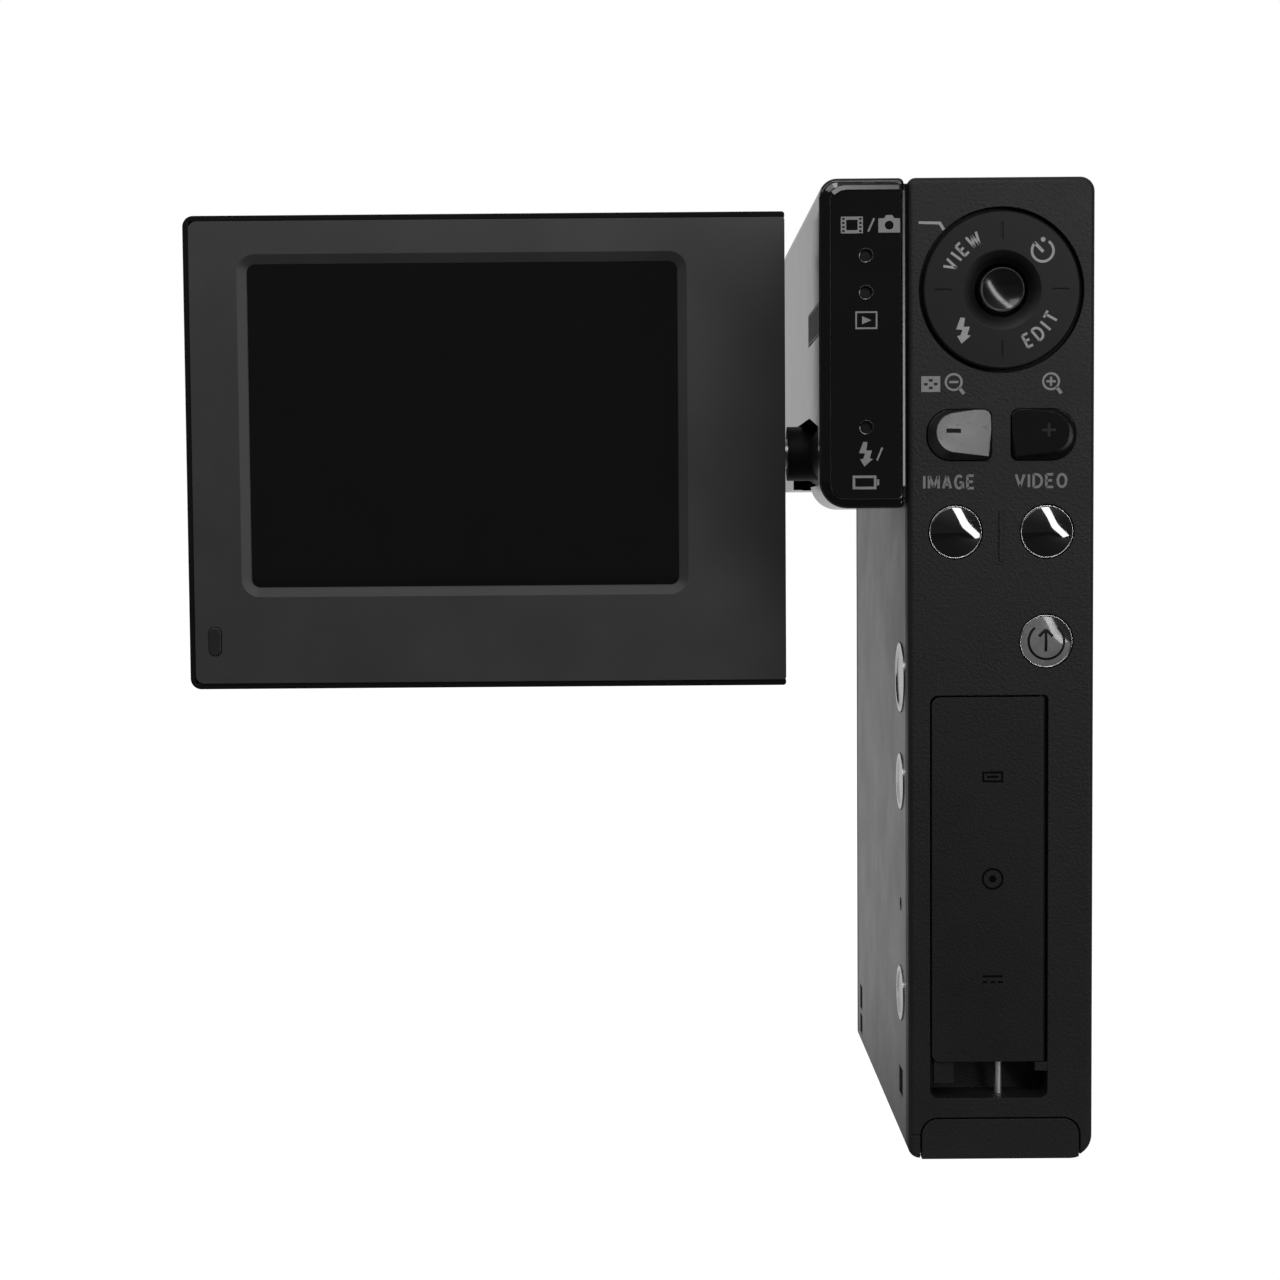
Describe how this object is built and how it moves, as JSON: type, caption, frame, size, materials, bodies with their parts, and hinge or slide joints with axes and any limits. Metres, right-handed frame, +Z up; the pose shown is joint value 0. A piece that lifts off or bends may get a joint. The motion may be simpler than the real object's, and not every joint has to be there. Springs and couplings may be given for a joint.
{
  "type": "camcorder",
  "caption": "Slim upright palm-size camcorder with a glossy head block, a monitor on a fold and swivel hinge, rear selector with joystick, zoom and record keys, jack cover and battery door.",
  "frame": {"origin": "mouth of the tripod socket, on the middle of the grip's bottom face", "axes": "+X right as the user sees the back, +Y forward to the lens, +Z up"},
  "size_m": [0.1043, 0.0573, 0.1081],
  "materials": {
    "textured_black": "fine leather-like moulded grain",
    "gloss_black": "piano black",
    "satin_black": "satin",
    "light_guide": "smoked",
    "clear_plastic": "clear moulded",
    "chrome_metal": "mirror",
    "sleeve_black": "shrink sleeve",
    "steel": "brushed",
    "inner_plastic": "matte",
    "battery_shell": "matte",
    "circuit_board": "solder mask",
    "lens_glass": "coated",
    "black_screw": "blackened",
    "lcd_shell": "gloss",
    "lcd_face": "fine matte",
    "screen_glass": "dark window",
    "bright_key": "metallic paint",
    "dark_key": "satin gloss",
    "black_chrome": "dark chrome",
    "silver_key": "satin chrome"
  },
  "bodies": {
    "root": {"rear_cover": "textured_black", "left_casing": "textured_black", "right_casing": "textured_black", "front_cover": "textured_black", "head_cover": "gloss_black", "indicator_panel": "gloss_black", "indicator_lights": "light_guide", "flash_window": "clear_plastic", "flash_reflector": "chrome_metal", "flash_capacitor": "sleeve_black", "speaker": "steel", "hinge_bracket": "steel", "fold_axle": "steel", "battery_bay": "inner_plastic", "battery_pack": "battery_shell", "memory_card": "inner_plastic", "card_socket": "steel", "main_board": "circuit_board", "key_board": "circuit_board", "side_key_board": "circuit_board", "dome_switches": "steel", "usb_socket": "steel", "av_socket": "inner_plastic", "dc_socket": "inner_plastic", "strap_bar": "steel", "lens_housing": "inner_plastic", "lens_ring": "satin_black", "front_glass": "lens_glass", "lens_guide_rods": "steel", "image_sensor": "inner_plastic", "lens_motors": "steel", "microphones": "steel", "casing_screws": "black_screw", "tripod_socket": "steel"},
    "hinge": {"hinge_barrel": "gloss_black", "swivel_shaft": "steel"},
    "monitor": {"lcd_back_cover": "lcd_shell", "lcd_bezel": "lcd_face", "lcd_window": "screen_glass", "lcd_module": "steel", "lcd_latch": "satin_black", "lcd_screws": "black_screw"},
    "gimbal": {"selector_gimbal": "inner_plastic"},
    "selector": {"selector_ring": "satin_black"},
    "plunger": {"joystick_plunger": "inner_plastic"},
    "rocker": {"joystick_rocker": "inner_plastic"},
    "joystick": {"joystick_cap": "gloss_black"},
    "zoom_wide": {"zoom_wide_key": "bright_key"},
    "zoom_tele": {"zoom_tele_key": "dark_key"},
    "photo": {"photo_button": "black_chrome"},
    "movie": {"movie_button": "black_chrome"},
    "share": {"share_button": "silver_key"},
    "power": {"power_button": "satin_black"},
    "playback": {"playback_button": "satin_black"},
    "display": {"display_button": "satin_black"},
    "jack_flap": {"jack_cover": "textured_black"},
    "battery_flap": {"battery_door": "textured_black"},
    "latch": {"battery_latch": "satin_black"},
    "zoom_group": {"zoom_lens_group": "lens_glass"},
    "focus_group": {"focus_lens_group": "lens_glass"}
  },
  "joints": [
    {"name": "lcd_fold", "type": "hinge", "parent": "root", "child": "hinge", "pos_m": [-0.015, -0.018, 0.0792], "axis": [0, 1, 0], "range_deg": [-20, 0]},
    {"name": "lcd_swivel", "type": "hinge", "parent": "hinge", "child": "monitor", "pos_m": [-0.02195, -0.018, 0.0792], "axis": [1, 0, 0], "range_deg": [-180, 90]},
    {"name": "selector_tilt_a", "type": "hinge", "parent": "root", "child": "gimbal", "pos_m": [0, -0.044, 0.09577], "axis": [0.7071, 0, -0.7071], "range_deg": [-2, 2], "stiffness_Nm_per_rad": 0.05},
    {"name": "selector_tilt_b", "type": "hinge", "parent": "gimbal", "child": "selector", "pos_m": [0, -0.044, 0.09577], "axis": [0.7071, 0, 0.7071], "range_deg": [-2, 2], "stiffness_Nm_per_rad": 0.05},
    {"name": "joystick_push", "type": "slide", "parent": "root", "child": "plunger", "axis": [0, 1, 0], "range_m": [0, 0.0003], "stiffness_N_per_m": 600},
    {"name": "joystick_tilt_x", "type": "hinge", "parent": "plunger", "child": "rocker", "pos_m": [0, -0.0428, 0.09577], "axis": [1, 0, 0], "range_deg": [-6, 6], "stiffness_Nm_per_rad": 0.01},
    {"name": "joystick_tilt_z", "type": "hinge", "parent": "rocker", "child": "joystick", "pos_m": [0, -0.0428, 0.09577], "axis": [0, 0, 1], "range_deg": [-6, 6], "stiffness_Nm_per_rad": 0.01},
    {"name": "zoom_wide_press", "type": "slide", "parent": "root", "child": "zoom_wide", "axis": [0, 1, 0], "range_m": [0, 0.0005], "stiffness_N_per_m": 600},
    {"name": "zoom_tele_press", "type": "slide", "parent": "root", "child": "zoom_tele", "axis": [0, 1, 0], "range_m": [0, 0.0005], "stiffness_N_per_m": 600},
    {"name": "photo_press", "type": "slide", "parent": "root", "child": "photo", "axis": [0, 1, 0], "range_m": [0, 0.0005], "stiffness_N_per_m": 600},
    {"name": "movie_press", "type": "slide", "parent": "root", "child": "movie", "axis": [0, 1, 0], "range_m": [0, 0.0005], "stiffness_N_per_m": 600},
    {"name": "share_press", "type": "slide", "parent": "root", "child": "share", "axis": [0, 1, 0], "range_m": [0, 0.0005], "stiffness_N_per_m": 600},
    {"name": "power_press", "type": "slide", "parent": "root", "child": "power", "axis": [1, 0, 0], "range_m": [0, 0.0004], "stiffness_N_per_m": 600},
    {"name": "playback_press", "type": "slide", "parent": "root", "child": "playback", "axis": [1, 0, 0], "range_m": [0, 0.0004], "stiffness_N_per_m": 600},
    {"name": "display_press", "type": "slide", "parent": "root", "child": "display", "axis": [1, 0, 0], "range_m": [0, 0.0004], "stiffness_N_per_m": 600},
    {"name": "jack_cover_open", "type": "hinge", "parent": "root", "child": "jack_flap", "pos_m": [0.0044, -0.0454, 0.031], "axis": [0, 0, 1], "range_deg": [0, 90]},
    {"name": "battery_door_open", "type": "hinge", "parent": "root", "child": "battery_flap", "pos_m": [0, -0.0076, 0.0006], "axis": [1, 0, 0], "range_deg": [0, 85]},
    {"name": "battery_latch_slide", "type": "slide", "parent": "battery_flap", "child": "latch", "axis": [0, 1, 0], "range_m": [0, 0.0015]},
    {"name": "zoom_slide", "type": "slide", "parent": "root", "child": "zoom_group", "axis": [0, 1, 0], "range_m": [-0.006, 0.006]},
    {"name": "focus_slide", "type": "slide", "parent": "root", "child": "focus_group", "axis": [0, 1, 0], "range_m": [-0.004, 0.002]}
  ]
}
